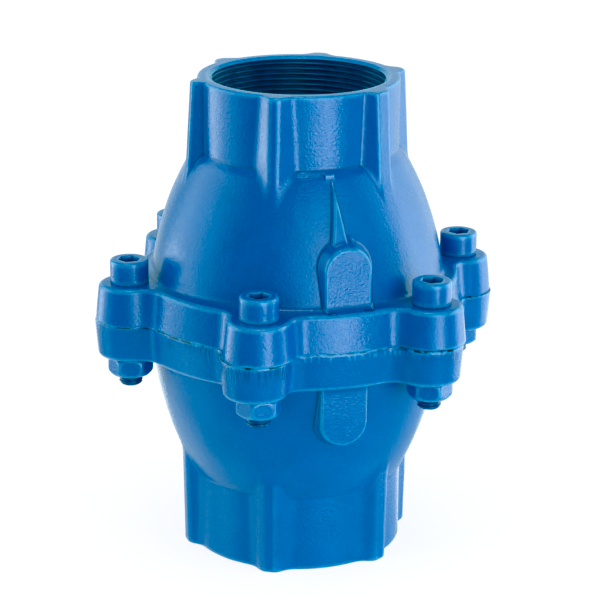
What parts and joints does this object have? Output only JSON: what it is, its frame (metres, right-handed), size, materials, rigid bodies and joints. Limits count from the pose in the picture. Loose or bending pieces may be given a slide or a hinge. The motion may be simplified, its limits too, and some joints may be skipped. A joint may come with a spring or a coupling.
{
  "type": "axial non-return valve",
  "caption": "Axial non-return valve: two bolted cast halves with female pipe threads, holding a spring-loaded guided disc on a seat.",
  "frame": {"origin": "centre of the inlet face, at the bottom of the valve", "axes": "+Z along the bore in the direction of flow, -Y towards the pads and the flow mark"},
  "size_m": [0.1764, 0.1578, 0.204],
  "materials": {
    "body_paint": "blue epoxy coat over ductile cast iron, glossy, with a fine cast texture",
    "fastener_paint": "same blue epoxy coat over steel screws and nuts",
    "bronze": "turned and cast bronze, unpolished",
    "stainless": "turned stainless steel",
    "spring_steel": "drawn stainless wire",
    "rubber": "black moulded rubber, matt",
    "bush_plastic": "turned off-white bearing plastic"
  },
  "bodies": {
    "casing": {"inlet_body": "body_paint", "outlet_body": "body_paint", "seat_carrier": "bronze", "body_o_ring": "rubber", "seat_o_ring": "rubber", "spring": "spring_steel", "upper_guide_bush": "bush_plastic", "lower_guide_bush": "bush_plastic", "cap_screw_1": "fastener_paint", "cap_screw_2": "fastener_paint", "cap_screw_3": "fastener_paint", "cap_screw_4": "fastener_paint", "cap_screw_5": "fastener_paint", "cap_screw_6": "fastener_paint", "hex_nut_1": "fastener_paint", "hex_nut_2": "fastener_paint", "hex_nut_3": "fastener_paint", "hex_nut_4": "fastener_paint", "hex_nut_5": "fastener_paint", "hex_nut_6": "fastener_paint"},
    "closing_disc": {"disc": "bronze", "disc_seal": "rubber", "seal_retainer": "stainless", "stem": "stainless", "stem_washer": "stainless", "stem_nut": "stainless"}
  },
  "joints": [
    {"name": "disc_lift", "type": "slide", "parent": "casing", "child": "closing_disc", "axis": [0, 0, 1], "range_m": [0, 0.0162], "stiffness_N_per_m": 450, "springref_m": -0.02, "deforming": ["spring"]}
  ]
}
